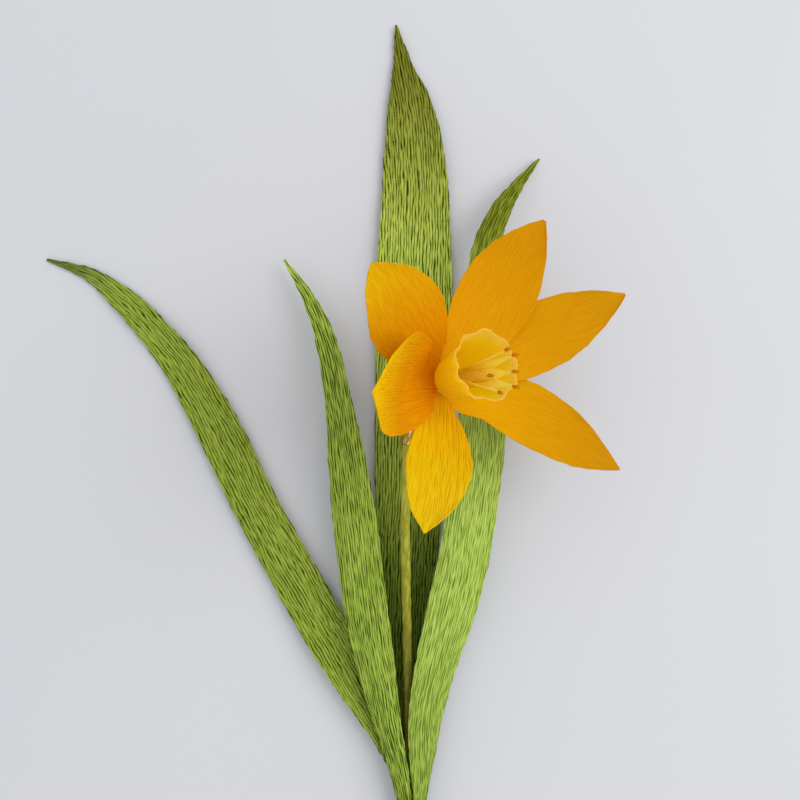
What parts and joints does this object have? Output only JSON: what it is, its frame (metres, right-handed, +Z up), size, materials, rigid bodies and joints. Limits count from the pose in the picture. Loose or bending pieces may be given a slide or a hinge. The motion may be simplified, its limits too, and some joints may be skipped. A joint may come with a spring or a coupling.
{
  "type": "paper flower",
  "caption": "Crepe paper daffodil with golden petals, a pale trumpet with stamens, a wrapped wire stem and long green leaves, lying on its back",
  "frame": {"origin": "middle of the bottom face of the flower's bounding box, on the surface that it lies on", "axes": "+X to the right when the leaf tips point away, +Y along the flower from the stem's cut end to the leaf tips, +Z up towards the bloom's open side"},
  "size_m": [0.1956, 0.348, 0.0911],
  "materials": {
    "petal_paper": "matte crepe",
    "cup_paper": "matte crepe",
    "stamen_paper": "matte",
    "anther_paper": "matte",
    "neck_paper": "matte wrap",
    "bract_paper": "matte crepe",
    "stem_paper": "matte wrap",
    "leaf_paper": "matte crepe",
    "stem_wire": "drawn"
  },
  "bodies": {
    "root": {"stem_wire": "stem_wire", "stem_wrap": "stem_paper", "neck_wrap": "neck_paper", "bract": "bract_paper", "petal_1": "petal_paper", "petal_2": "petal_paper", "petal_3": "petal_paper", "petal_4": "petal_paper", "petal_5": "petal_paper", "petal_6": "petal_paper", "cup": "cup_paper", "filament_1": "stamen_paper", "filament_2": "stamen_paper", "filament_3": "stamen_paper", "filament_4": "stamen_paper", "filament_5": "stamen_paper", "filament_6": "stamen_paper", "anther_1": "anther_paper", "anther_2": "anther_paper", "anther_3": "anther_paper", "anther_4": "anther_paper", "anther_5": "anther_paper", "anther_6": "anther_paper", "leaf_binding": "leaf_paper", "tall_leaf": "leaf_paper", "far_left_leaf": "leaf_paper", "left_leaf": "leaf_paper", "right_leaf": "leaf_paper"}
  },
  "joints": []
}
